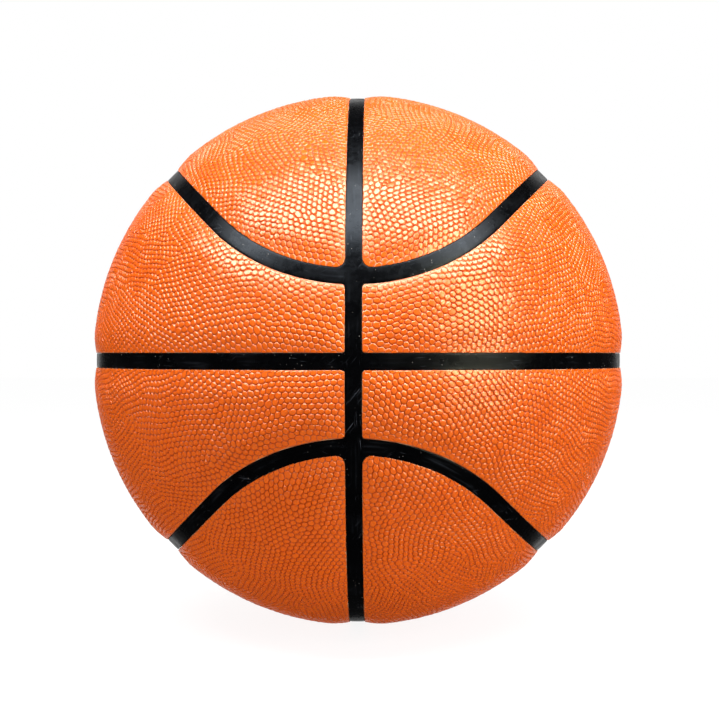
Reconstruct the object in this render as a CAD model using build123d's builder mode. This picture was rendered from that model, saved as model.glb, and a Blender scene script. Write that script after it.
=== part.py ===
from build123d import *
import os
from math import acos, cos, degrees, radians, sin

# Basketball of adult size, built from the inside out: bladder, thread winding, rubber carcass,
# sponge pads, skived cover panels, channel strips and an inflation valve.
# The origin is the ball's centre, +Z is up and -Y is the front.

# Ball and seams, in millimetres
ball_diameter = 238.5  # across the panels, 749.3 round
channel_width = 6.35
channel_depth = 1.5
loop_height = 31.9  # from the equator up to the loop seam's turn, seen from the front
loop_angle = 45.0  # degrees, slope of the loop seams at the sides
polar_corner_radius = 4.2
band_corner_radius = 1.0
edge_gap = 0.1  # between a panel's edge and the strip beside it

# Layers, from the outside in
cover_thickness = 1.8
cover_edge_thickness = 0.6  # left at the border, where the cover is skived
shoulder_width = 8.0  # how far the skived shoulder reaches into a panel
pad_thickness = 1.6
carcass_thickness = 0.9
winding_thickness = 0.6
bladder_thickness = 0.8
glue_line = 0.05  # cement film between two layers

# Valve, in the rear of the upper right band panel
valve_latitude = 13.0  # degrees above the equator
valve_longitude = 32.0  # degrees from +Y towards +X
valve_recess = 0.5  # valve's face under the cover's surface
stem_diameter = 10.0
stem_clearance = 0.15
stem_inner_length = 11.0  # below the bladder's inner wall
stem_chamfer = 1.5
flange_diameter = 28.0
flange_thickness = 1.5
patch_diameter = 46.0
patch_thickness = 0.7
plug_head_diameter = 7.0
plug_head_height = 2.4
plug_barrel_diameter = 4.6
plug_tail_diameter = 6.6
plug_tail_height = 3.0
plug_tail_chamfer = 1.0
plug_clearance = 0.05
needle_bore_diameter = 2.06
needle_bore_length = 9.0
mouth_diameter = 4.0
mouth_depth = 1.1

overrun = 5.0  # past the ball's surface, for cutting tools

# Radii of the layers
ball_radius = ball_diameter / 2
cover_inner = ball_radius - cover_thickness
pad_outer = cover_inner - glue_line
pad_inner = pad_outer - pad_thickness
carcass_outer = pad_inner - glue_line
carcass_inner = carcass_outer - carcass_thickness
winding_outer = carcass_inner - glue_line
winding_inner = winding_outer - winding_thickness
bladder_outer = winding_inner - glue_line
bladder_inner = bladder_outer - bladder_thickness
strip_outer = ball_radius - channel_depth
strip_inner = carcass_outer + glue_line

# Seam lines in the front view: a loop is two sloping lines joined by an arc tangent to both
loop_center_height = loop_height / (1 - cos(radians(loop_angle)))
loop_arc_radius = loop_center_height * cos(radians(loop_angle))
half_channel = channel_width / 2
half_strip = half_channel - edge_gap
reach = ball_radius + overrun

# A sphere's own seam and poles are turned into the upright channel, clear of every panel,
# and for the upright strip its poles are turned to the sides, clear of the strip
quarter_turn = 90  # degrees
sphere_turn = (0, 0, quarter_turn)
upright_turn = (0, quarter_turn, 0)

# Valve frame: heights along its axis are distances from the ball's centre
valve_axis = Vector(
    cos(radians(valve_latitude)) * sin(radians(valve_longitude)),
    cos(radians(valve_latitude)) * cos(radians(valve_longitude)),
    sin(radians(valve_latitude)),
)
valve_plane = Plane(origin=(0, 0, 0), z_dir=valve_axis)
valve_section = Plane(origin=(0, 0, 0), x_dir=valve_plane.x_dir, z_dir=-valve_plane.y_dir)
stem_hole_radius = stem_diameter / 2 + stem_clearance
valve_face = ball_radius - valve_recess
stem_bottom = bladder_inner - stem_inner_length
flange_outer = bladder_inner - glue_line
flange_inner = flange_outer - flange_thickness
patch_outer = flange_inner - glue_line
patch_inner = patch_outer - patch_thickness


def loop_arc(radius, offset):
    """Turn of the loop seam, from the upright edge at this offset to the sloping line."""
    start = -degrees(acos(offset / radius))
    end = loop_angle - quarter_turn
    return CenterArc((0, loop_center_height), radius, start, end - start)


def polar_outline(offset, corner_radius=0):
    """Front view of the polar panel, this far from the seams' middle lines."""
    with BuildSketch(Plane.XZ) as outline:
        with BuildLine():
            turn = loop_arc(loop_arc_radius - offset, offset)
            far = turn @ 1 + (turn % 1) * (2 * reach)
            Polyline(turn @ 1, far, (offset, far.Y), turn @ 0)
        make_face()
        if corner_radius:
            fillet(outline.vertices().group_by(Axis.X)[0].sort_by(Axis.Y)[0], corner_radius)
    return outline.sketch


def band_outline(offset, corner_radius=0):
    """Front view of the band panel, this far from the seams' middle lines."""
    with BuildSketch(Plane.XZ) as outline:
        with BuildLine():
            turn = loop_arc(loop_arc_radius + offset, offset)
            far = turn @ 1 + (turn % 1) * (2 * reach)
            Polyline(turn @ 1, far, (far.X, offset), (offset, offset), turn @ 0)
        make_face()
        if corner_radius:
            fillet(outline.vertices().group_by(Axis.X)[0], corner_radius)
    return outline.sketch


def placed(master, side, level):
    """Copy of an upper right piece, mirrored to its side and level."""
    copy = master
    if side == "left":
        copy = copy.mirror(Plane.YZ)
    if level == "lower":
        copy = copy.mirror(Plane.XY)
    return copy


def save(piece, name):
    """Label a finished piece and write its file."""
    piece.label = name
    export_step(piece, f"parts/{name}.step")


os.makedirs("parts", exist_ok=True)

# Full shells, each with the hole that the valve's stem passes through
for name, outer, inner in (
    ("carcass", carcass_outer, carcass_inner),
    ("winding", winding_outer, winding_inner),
    ("bladder", bladder_outer, bladder_inner),
):
    with BuildPart() as shell:
        Sphere(outer, rotation=sphere_turn)
        Sphere(inner, rotation=sphere_turn, mode=Mode.SUBTRACT)
        with BuildSketch(valve_plane):
            Circle(stem_hole_radius)
        extrude(amount=reach, mode=Mode.SUBTRACT)
    save(shell.part, name)

# Cover panels and sponge pads, four polar and four band ones
panel_outlines = (
    ("polar", polar_outline(half_channel), polar_outline(half_channel, polar_corner_radius)),
    ("band", band_outline(half_channel), band_outline(half_channel, band_corner_radius)),
)
for zone, sharp_outline, round_outline in panel_outlines:
    # The cover is skived along its sharp outline first, and its corners are rounded last
    with BuildPart() as cover_master:
        Sphere(ball_radius, rotation=sphere_turn)
        Sphere(cover_inner, rotation=sphere_turn, mode=Mode.SUBTRACT)
        extrude(sharp_outline, amount=reach, both=True, mode=Mode.INTERSECT)
        crown = cover_master.faces().sort_by(SortBy.AREA)[-1]
        chamfer(
            crown.edges(),
            length=shoulder_width,
            length2=cover_thickness - cover_edge_thickness,
            reference=crown,
        )
        extrude(round_outline, amount=reach, both=True, mode=Mode.INTERSECT)
    with BuildPart() as pad_master:
        Sphere(pad_outer, rotation=sphere_turn)
        Sphere(pad_inner, rotation=sphere_turn, mode=Mode.SUBTRACT)
        extrude(round_outline, amount=reach, both=True, mode=Mode.INTERSECT)

    for level in ("upper", "lower"):
        for side in ("right", "left"):
            for layer, master in (("cover", cover_master), ("pad", pad_master)):
                with BuildPart() as panel:
                    add(placed(master.part, side, level))
                    if (zone, level, side) == ("band", "upper", "right"):
                        with BuildSketch(valve_plane):
                            Circle(stem_hole_radius)
                        extrude(amount=reach, mode=Mode.SUBTRACT)
                save(panel.part, f"{zone}_{layer}_{level}_{side}")

# Channel strips: one upright ring, and two half rings for the equator and for each loop
with BuildPart() as upright_strip:
    Sphere(strip_outer, rotation=upright_turn)
    Sphere(strip_inner, rotation=upright_turn, mode=Mode.SUBTRACT)
    with BuildSketch(Plane.XZ):
        Rectangle(2 * half_strip, 2 * reach)
    extrude(amount=reach, both=True, mode=Mode.INTERSECT)
save(upright_strip.part, "upright_strip")

with BuildPart() as equator_master:
    Sphere(strip_outer, rotation=sphere_turn)
    Sphere(strip_inner, rotation=sphere_turn, mode=Mode.SUBTRACT)
    with BuildSketch(Plane.XZ):
        with Locations((half_channel, 0)):
            Rectangle(reach, 2 * half_strip, align=(Align.MIN, Align.CENTER))
    extrude(amount=reach, both=True, mode=Mode.INTERSECT)

with BuildPart() as loop_master:
    Sphere(strip_outer, rotation=sphere_turn)
    Sphere(strip_inner, rotation=sphere_turn, mode=Mode.SUBTRACT)
    with BuildSketch(Plane.XZ):
        with Locations((half_channel, loop_height / 2)):
            Rectangle(reach, reach, align=(Align.MIN, Align.MIN))
        add(polar_outline(half_strip, polar_corner_radius), mode=Mode.SUBTRACT)
        add(band_outline(half_strip, band_corner_radius), mode=Mode.SUBTRACT)
    extrude(amount=reach, both=True, mode=Mode.INTERSECT)

for side in ("right", "left"):
    with BuildPart() as equator_strip:
        add(placed(equator_master.part, side, "upper"))
    save(equator_strip.part, f"equator_strip_{side}")
    for level in ("upper", "lower"):
        with BuildPart() as loop_strip:
            add(placed(loop_master.part, side, level))
        save(loop_strip.part, f"loop_strip_{level}_{side}")

# Valve housing: a stem through all layers, with a flange against the bladder's inner wall
with BuildPart() as valve_housing:
    with BuildSketch(valve_plane):
        Circle(flange_diameter / 2)
    extrude(amount=reach)
    Sphere(flange_outer, rotation=sphere_turn, mode=Mode.INTERSECT)
    Sphere(flange_inner, rotation=sphere_turn, mode=Mode.SUBTRACT)
    with BuildSketch(valve_plane.offset(stem_bottom)):
        Circle(stem_diameter / 2)
    extrude(amount=valve_face - stem_bottom)
    stem_end = valve_housing.faces().filter_by(GeomType.PLANE).sort_by(Axis((0, 0, 0), valve_axis))[0]
    chamfer(stem_end.edges(), stem_chamfer)
    with BuildSketch(valve_plane.offset(stem_bottom)):
        Circle(plug_barrel_diameter / 2 + plug_clearance)
    extrude(amount=reach, mode=Mode.SUBTRACT)
    with BuildSketch(valve_plane.offset(valve_face - plug_head_height - plug_clearance)):
        Circle(plug_head_diameter / 2 + plug_clearance)
    extrude(amount=reach, mode=Mode.SUBTRACT)
save(valve_housing.part, "valve_housing")

# Patch that ties the flange to the bladder
with BuildPart() as valve_patch:
    with BuildSketch(valve_plane):
        Circle(patch_diameter / 2)
        Circle(stem_hole_radius, mode=Mode.SUBTRACT)
    extrude(amount=reach)
    Sphere(patch_outer, rotation=sphere_turn, mode=Mode.INTERSECT)
    Sphere(patch_inner, rotation=sphere_turn, mode=Mode.SUBTRACT)
save(valve_patch.part, "valve_patch")

# Valve plug: head, barrel and tail in one revolved piece, with the needle's blind bore
barrel_top = valve_face - plug_head_height
tail_top = stem_bottom - plug_clearance
tail_bottom = tail_top - plug_tail_height
bore_bottom = valve_face - mouth_depth - needle_bore_length
with BuildPart() as valve_plug:
    with BuildSketch(valve_section):
        with BuildLine():
            Polyline(
                (0, bore_bottom),
                (needle_bore_diameter / 2, bore_bottom),
                (needle_bore_diameter / 2, valve_face - mouth_depth),
                (mouth_diameter / 2, valve_face),
                (plug_head_diameter / 2, valve_face),
                (plug_head_diameter / 2, barrel_top),
                (plug_barrel_diameter / 2, barrel_top),
                (plug_barrel_diameter / 2, tail_top),
                (plug_tail_diameter / 2, tail_top),
                (plug_tail_diameter / 2, tail_bottom + plug_tail_chamfer),
                (plug_tail_diameter / 2 - plug_tail_chamfer, tail_bottom),
                (0, tail_bottom),
                close=True,
            )
        make_face()
    revolve(axis=Axis((0, 0, 0), valve_axis))
save(valve_plug.part, "valve_plug")

print("ball radius", round(ball_radius, 3))
print("valve axis", [round(value, 6) for value in tuple(valve_axis)])
print("needle bore from", round(bore_bottom, 3), "to", round(valve_face - mouth_depth, 3))
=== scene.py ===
"""Looks of a basketball with eight pebbled panels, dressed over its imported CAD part.

The cover panels, sponge pads, channel strips and valve are modelled here as meshes, in metres and
in the part's own frame: the origin is the ball's centre, +Z is up and -Y is the front. A panel is
worked out in the upper right, and mirrored to its side and level as it is made.
"""
import logging
from dataclasses import dataclass, field
from enum import Enum
from itertools import product
from math import asin, cos, pi, radians, sin, sqrt

import bmesh
import bpy
import numpy as np
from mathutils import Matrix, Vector
from mathutils.geometry import delaunay_2d_cdt
from mathutils.kdtree import KDTree


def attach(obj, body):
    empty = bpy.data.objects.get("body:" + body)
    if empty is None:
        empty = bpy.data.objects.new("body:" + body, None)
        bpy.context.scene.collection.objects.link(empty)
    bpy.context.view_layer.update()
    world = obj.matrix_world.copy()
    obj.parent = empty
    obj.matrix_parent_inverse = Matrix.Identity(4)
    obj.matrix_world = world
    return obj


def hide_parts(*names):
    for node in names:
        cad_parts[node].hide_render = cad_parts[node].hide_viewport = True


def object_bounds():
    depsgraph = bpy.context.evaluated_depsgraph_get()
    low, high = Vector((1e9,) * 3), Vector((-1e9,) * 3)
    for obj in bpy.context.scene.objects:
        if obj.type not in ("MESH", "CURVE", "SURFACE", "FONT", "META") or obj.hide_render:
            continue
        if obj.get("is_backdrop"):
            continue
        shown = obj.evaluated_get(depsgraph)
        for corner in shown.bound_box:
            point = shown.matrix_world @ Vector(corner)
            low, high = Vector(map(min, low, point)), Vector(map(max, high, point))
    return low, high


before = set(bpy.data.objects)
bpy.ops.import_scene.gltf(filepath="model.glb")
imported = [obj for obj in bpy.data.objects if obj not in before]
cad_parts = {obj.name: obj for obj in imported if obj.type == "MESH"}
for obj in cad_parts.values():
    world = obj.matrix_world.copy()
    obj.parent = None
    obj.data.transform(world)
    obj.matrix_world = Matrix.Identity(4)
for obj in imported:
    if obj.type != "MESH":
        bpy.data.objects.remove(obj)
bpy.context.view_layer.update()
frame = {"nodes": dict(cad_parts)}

LOG = logging.getLogger("basketball")
MM = 0.001
TINY = 1e-9
BODY = "root"
SMOOTH_ANGLE = radians(50.0)
WARM_LIGHT = (1.0, 0.9, 0.6)

Array = np.ndarray
Cells = list[list[int]]
Span = tuple[float, float]
Triple = tuple[float, float, float]
Colour = tuple[float, float, float, float]


class Zone(Enum):
    """Ring of panels that a panel belongs to."""

    POLAR = "polar"
    BAND = "band"


class Level(Enum):
    """Half of the ball above or below the equator."""

    UPPER = "upper"
    LOWER = "lower"


class Side(Enum):
    """Half of the ball right or left of the upright channel, seen from the front."""

    RIGHT = "right"
    LEFT = "left"


def mirror_signs(level: Level, side: Side) -> Array:
    """Signs that carry a point of the upper right to a level and a side."""
    return np.array([1 if side is Side.RIGHT else -1, 1, 1 if level is Level.UPPER else -1])


@dataclass(frozen=True)
class BallLayout:
    """Sizes that the pieces share, the same as in the CAD part."""

    radius: float = 119.25 * MM
    channel_width: float = 6.35 * MM
    channel_depth: float = 1.5 * MM
    loop_height: float = 31.9 * MM
    loop_angle: float = radians(45.0)
    polar_corner: float = 4.2 * MM
    band_corner: float = 1.0 * MM
    cover_thickness: float = 1.8 * MM
    pad_thickness: float = 1.6 * MM
    glue_line: float = 0.05 * MM
    valve_latitude: float = radians(13.0)
    valve_longitude: float = radians(32.0)
    stem_radius: float = 5.0 * MM
    stem_clearance: float = 0.15 * MM

    @property
    def half_channel(self) -> float:
        """Half of the channel's width."""
        return self.channel_width / 2

    @property
    def loop_center(self) -> float:
        """Height of the centre of the loop seam's turn, in the front view."""
        return self.loop_height / (1 - cos(self.loop_angle))

    @property
    def loop_turn(self) -> float:
        """Radius of the loop seam's turn, in the front view."""
        return self.loop_center * cos(self.loop_angle)

    @property
    def cover_inner(self) -> float:
        """Distance of a cover's underside from the ball's centre."""
        return self.radius - self.cover_thickness

    @property
    def pad_outer(self) -> float:
        """Distance of a sponge pad's outer face from the ball's centre."""
        return self.cover_inner - self.glue_line

    @property
    def pad_inner(self) -> float:
        """Distance of a sponge pad's inner face from the ball's centre."""
        return self.pad_outer - self.pad_thickness

    @property
    def strip_outer(self) -> float:
        """Distance of a channel strip's face from the ball's centre."""
        return self.radius - self.channel_depth

    @property
    def valve_axis(self) -> Array:
        """Direction of the valve from the ball's centre.

        Returns:
            A vector of length 1.
        """
        flat = cos(self.valve_latitude)
        east, north = sin(self.valve_longitude), cos(self.valve_longitude)
        return np.array([flat * east, flat * north, sin(self.valve_latitude)])


def lengths_of(points: Array) -> Array:
    """Distance of each point from the ball's centre."""
    return np.linalg.norm(points, axis=1)


def rounded_least(first: Array, second: Array, corner: float) -> Array:
    """Lesser of two border distances, with the corner between the borders rounded.

    Args:
        first: Distance of each point from one border.
        second: Distance of each point from the other border.
        corner: Radius of the rounded corner.

    Returns:
        Distance of each point from the joined border.
    """
    reach = np.hypot(np.maximum(corner - first, 0), np.maximum(corner - second, 0))
    in_corner = (first < corner) & (second < corner)
    return np.where(in_corner, corner - reach, np.minimum(first, second))


@dataclass(frozen=True)
class PanelOutline:
    """Border of an upper right panel, as a distance measured along the ball's surface."""

    ball: BallLayout
    zone: Zone
    seed: int
    has_valve: bool = False
    wander: float = 0.16 * MM
    wander_waves: int = 6
    shortest_wander: float = 9.0 * MM
    longest_wander: float = 34.0 * MM

    def drift(self, points: Array) -> Array:
        """How far the hand-cut border has strayed inwards near each point.

        Args:
            points: Points near the ball's surface, in the upper right.

        Returns:
            One distance in metres for each point, never below zero.
        """
        rng = np.random.default_rng(self.seed)
        total = np.zeros(len(points))
        for _ in range(self.wander_waves):
            heading = rng.normal(size=3)
            heading *= 2 * pi / np.linalg.norm(heading)
            wavelength = rng.uniform(self.shortest_wander, self.longest_wander)
            total += np.sin(points @ heading / wavelength + rng.uniform(0, 2 * pi))
        return self.wander * (0.5 + 0.5 * total / self.wander_waves)

    def distance(self, points: Array) -> Array:
        """Distance of points from the border, positive inside the panel.

        Args:
            points: Points near the ball's surface, in the upper right.

        Returns:
            One distance in metres for each point.
        """
        ball = self.ball
        x, _, z = points.T
        radius = lengths_of(points)
        run, rise = cos(ball.loop_angle), sin(ball.loop_angle)
        drop = z - ball.loop_center
        spread = np.maximum(np.hypot(x, drop), TINY)
        on_turn = x * run + z * rise < ball.loop_center * rise
        past = np.where(on_turn, spread - ball.loop_turn, x * rise - z * run)
        lean = np.where(on_turn, (x * x + drop * z) / (spread * radius), past / radius)
        facing = np.sqrt(np.maximum(1 - lean**2, TINY))
        upright = radius * np.arcsin(np.clip(x / radius, -1, 1)) - ball.half_channel
        if self.zone is Zone.POLAR:
            loop = (-past - ball.half_channel) / facing
            border = rounded_least(upright, loop, ball.polar_corner)
        else:
            loop = (past - ball.half_channel) / facing
            equator = radius * np.arcsin(np.clip(z / radius, -1, 1)) - ball.half_channel
            border = rounded_least(upright, np.minimum(equator, loop), ball.band_corner)
        border = border - self.drift(points)
        if self.has_valve:
            along = points @ ball.valve_axis
            beside = lengths_of(points - along[:, None] * ball.valve_axis)
            border = np.minimum(border, beside - ball.stem_radius - ball.stem_clearance)
        return border

    def settle(self, points: Array, target: float, radius: Array | float) -> Array:
        """Moves points along the surface to a distance from the border.

        Args:
            points: Points near the border, in the upper right.
            target: Distance from the border that the points take.
            radius: Distance from the ball's centre that the points take.

        Returns:
            The moved points.
        """
        step = 0.01 * MM
        rounds = 4
        for _ in range(rounds):
            points = points * (radius / lengths_of(points))[:, None]
            outward = points / lengths_of(points)[:, None]
            slope = np.empty_like(points)
            for axis in range(3):
                shift = np.zeros(3)
                shift[axis] = step
                rise = self.distance(points + shift) - self.distance(points - shift)
                slope[:, axis] = rise / (2 * step)
            slope -= (slope * outward).sum(axis=1)[:, None] * outward
            steepness = np.maximum((slope**2).sum(axis=1), TINY)
            points = points - slope * ((self.distance(points) - target) / steepness)[:, None]
        return points * (radius / lengths_of(points))[:, None]


@dataclass(frozen=True)
class PanelChart:
    """Flat chart of a panel: how far along it and across it a point lies from its middle."""

    ball: BallLayout
    zone: Zone

    @property
    def axes(self) -> Array:
        """Directions outwards, along and across at the panel's middle.

        Returns:
            The three directions, as rows.
        """
        angle = self.ball.loop_angle
        middle = angle / 2 if self.zone is Zone.BAND else (angle + pi / 2) / 2
        outward = (cos(middle), 0.0, sin(middle))
        across = (-sin(middle), 0.0, cos(middle))
        return np.array([outward, (0.0, 1.0, 0.0), across])

    def to_ball(self, chart: Array, radius: float) -> Array:
        """Carries points of the chart to a sphere round the ball's centre.

        Args:
            chart: Points of the chart.
            radius: Radius of the sphere.

        Returns:
            The points on the sphere, in the upper right.
        """
        along, across = (chart / self.ball.radius).T
        level = np.cos(across)
        local = np.stack([level * np.cos(along), level * np.sin(along), np.sin(across)], axis=1)
        return radius * local @ self.axes

    def to_chart(self, points: Array) -> Array:
        """Carries points of the ball to the chart.

        Args:
            points: Points of the ball, in the upper right.

        Returns:
            The points of the chart.
        """
        outward, along, across = ((points / lengths_of(points)[:, None]) @ self.axes.T).T
        angles = np.stack([np.arctan2(along, outward), np.arcsin(np.clip(across, -1, 1))], axis=1)
        return self.ball.radius * angles


def take(piece: bpy.types.Object) -> None:
    """Makes a piece the only selected and active object.

    Args:
        piece: The piece.
    """
    bpy.ops.object.select_all(action="DESELECT")
    piece.select_set(True)
    bpy.context.view_layer.objects.active = piece


def begin(name: str, points: Array, edges: list, faces: list) -> bpy.types.Object:
    """Adds a mesh object and makes it the active one.

    Args:
        name: Name of the piece.
        points: Its vertices.
        edges: Vertex numbers of each edge that no face has.
        faces: Vertex numbers of each face.

    Returns:
        The new object.
    """
    mesh = bpy.data.meshes.new(name)
    mesh.from_pydata(points.tolist(), edges, faces)
    piece = bpy.data.objects.new(name, mesh)
    bpy.context.scene.collection.objects.link(piece)
    take(piece)
    return piece


def points_of(piece: bpy.types.Object) -> Array:
    """Vertices of a piece.

    Args:
        piece: The piece.

    Returns:
        One row for each vertex.
    """
    flat = np.empty(3 * len(piece.data.vertices))
    piece.data.vertices.foreach_get("co", flat)
    return flat.reshape(-1, 3)


def put_points(piece: bpy.types.Object, points: Array) -> None:
    """Moves the vertices of a piece."""
    piece.data.vertices.foreach_set("co", points.ravel())
    piece.data.update()


def flags_of(items: bpy.types.bpy_prop_collection) -> Array:
    """Which vertices, edges or faces of a mesh are selected.

    Args:
        items: The mesh's vertices, edges or faces.

    Returns:
        True for each one that is selected.
    """
    flags = np.empty(len(items), dtype=bool)
    items.foreach_get("select", flags)
    return flags


def edges_of(piece: bpy.types.Object) -> Array:
    """Edges of a piece.

    Args:
        piece: The piece.

    Returns:
        Vertex pairs, one row for each edge.
    """
    flat = np.empty(2 * len(piece.data.edges), dtype=np.int32)
    piece.data.edges.foreach_get("vertices", flat)
    return flat.reshape(-1, 2)


def open_edges_of(piece: bpy.types.Object) -> Array:
    """Edges that only one face uses.

    Args:
        piece: The piece.

    Returns:
        Vertex pairs, one row for each edge.
    """
    used = np.empty(len(piece.data.loops), dtype=np.int32)
    piece.data.loops.foreach_get("edge_index", used)
    return edges_of(piece)[np.bincount(used, minlength=len(piece.data.edges)) == 1]


def add_values(piece: bpy.types.Object, name: str, domain: str, values: Array) -> None:
    """Stores one number for each vertex, edge or face of a piece."""
    attribute = piece.data.attributes.get(name) or piece.data.attributes.new(name, "FLOAT", domain)
    attribute.data.foreach_set("value", values.astype(np.float32))


def edit(mode: str) -> None:
    """Enters edit mode with nothing selected.

    Args:
        mode: What is picked there: VERT, EDGE or FACE.
    """
    bpy.ops.object.mode_set(mode="EDIT")
    bpy.ops.mesh.select_mode(type=mode)
    bpy.ops.mesh.select_all(action="DESELECT")


def leave_edit() -> None:
    """Returns to object mode."""
    bpy.ops.object.mode_set(mode="OBJECT")


def face_outwards() -> None:
    """Turns all faces of the active piece outwards."""
    edit("FACE")
    bpy.ops.mesh.select_all(action="SELECT")
    bpy.ops.mesh.normals_make_consistent(inside=False)
    leave_edit()


def hand_over(piece: bpy.types.Object, nodes: list[str], materials: list) -> None:
    """Dresses a finished piece and ties it to the CAD part.

    Args:
        piece: The finished piece.
        nodes: CAD nodes that it stands for.
        materials: Its materials, in the order of its faces' material numbers.
    """
    for material in materials:
        piece.data.materials.append(material)
    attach(piece, BODY)
    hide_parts(*nodes)
    LOG.info("%s: %d faces, for %s", piece.name, len(piece.data.polygons), ", ".join(nodes))


@dataclass(frozen=True)
class PanelBorder:
    """Finished border of a panel, which the sponge pad under it follows."""

    points: Array
    edges: Array


def enclosed(points: Array, sides: Array) -> Array:
    """Which chart points lie inside a border, by how often a line from each one crosses it.

    Args:
        points: Points of the chart.
        sides: Ends of the border's sides, by side and end.

    Returns:
        True for each point that is inside.
    """
    start, end = sides[:, 0], sides[:, 1]
    along, across = points[:, :1], points[:, 1:]
    spans = (start[:, 1] > across) != (end[:, 1] > across)
    climb = np.where(start[:, 1] == end[:, 1], TINY, end[:, 1] - start[:, 1])
    crossing = start[:, 0] + (across - start[:, 1]) / climb * (end[:, 0] - start[:, 0])
    return (spans & (crossing > along)).sum(axis=1) % 2 == 1


def triangulate_inside(chart: PanelChart, outline: PanelOutline, border: PanelBorder,
                       spacing: float) -> tuple[Array, Cells]:
    """Fills a panel's border with triangles.

    Args:
        chart: Chart of the panel.
        outline: Outline of the panel.
        border: Border points in the upper right, and the edges between them.
        spacing: Distance between the points inside.

    Returns:
        Chart points, the border's own first, and the triangles between them.
    """
    rim = chart.to_chart(border.points)
    low, high = rim.min(axis=0), rim.max(axis=0)
    along, across = np.meshgrid(*(np.arange(*ends, spacing) for ends in zip(low, high)))
    inner = np.stack([along.ravel(), across.ravel()], axis=1)
    inner = inner[outline.distance(chart.to_ball(inner, chart.ball.radius)) > spacing / 2]
    flat = np.concatenate([rim, inner])
    filled = delaunay_2d_cdt([Vector(p) for p in flat], border.edges.tolist(), [], 0, TINY, True)
    sources = np.array([origin[0] for origin in filled[3]])
    triangles = sources[np.array(filled[2])]
    inside = enclosed(flat[triangles].mean(axis=1), rim[border.edges])
    return flat, triangles[inside].tolist()


def join_up(points: Array) -> tuple[Array, Array]:
    """Joins chart points with triangles that are as even as they can be.

    Args:
        points: Points of the chart.

    Returns:
        The points, and the numbers of each triangle's points.
    """
    joined = delaunay_2d_cdt([Vector(point) for point in points], [], [], 0, TINY)
    return np.array([tuple(point) for point in joined[0]]), np.array(joined[2])


def sides_of(cell: list[int]) -> list[tuple[int, int]]:
    """Each corner of a cell with the corner after it."""
    return list(zip(cell, cell[1:] + cell[:1]))


@dataclass(frozen=True)
class RimStep:
    """One ring of a pebble: how far in from the valley it lies, and how high up."""

    inset: float
    most_of_room: float
    corner_factor: float
    height_share: float


@dataclass
class PebbleSkin:
    """Points and faces of a panel's outer skin, gathered as its pebbles are raised."""

    points: list[Array]
    relief: list[Array]
    faces: Cells = field(default_factory=list)
    tones: list[Array] = field(default_factory=list)

    def add_ring(self, ring: Array, height_share: float) -> Array:
        """Adds one ring of points to each of several pebbles.

        Args:
            ring: The points, by pebble and turn.
            height_share: Share of the pebbles' relief that the ring has.

        Returns:
            The points' numbers, by pebble and turn.
        """
        first = sum(len(block) for block in self.points)
        self.points.append(ring.reshape(-1, 3))
        self.relief.append(np.full(len(self.points[-1]), height_share))
        return first + np.arange(len(self.points[-1])).reshape(ring.shape[:2])

    def add_faces(self, faces: Array, tones: Array) -> None:
        """Adds faces, each with its pebble's tone."""
        self.faces += faces.tolist()
        self.tones.append(tones)


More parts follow.
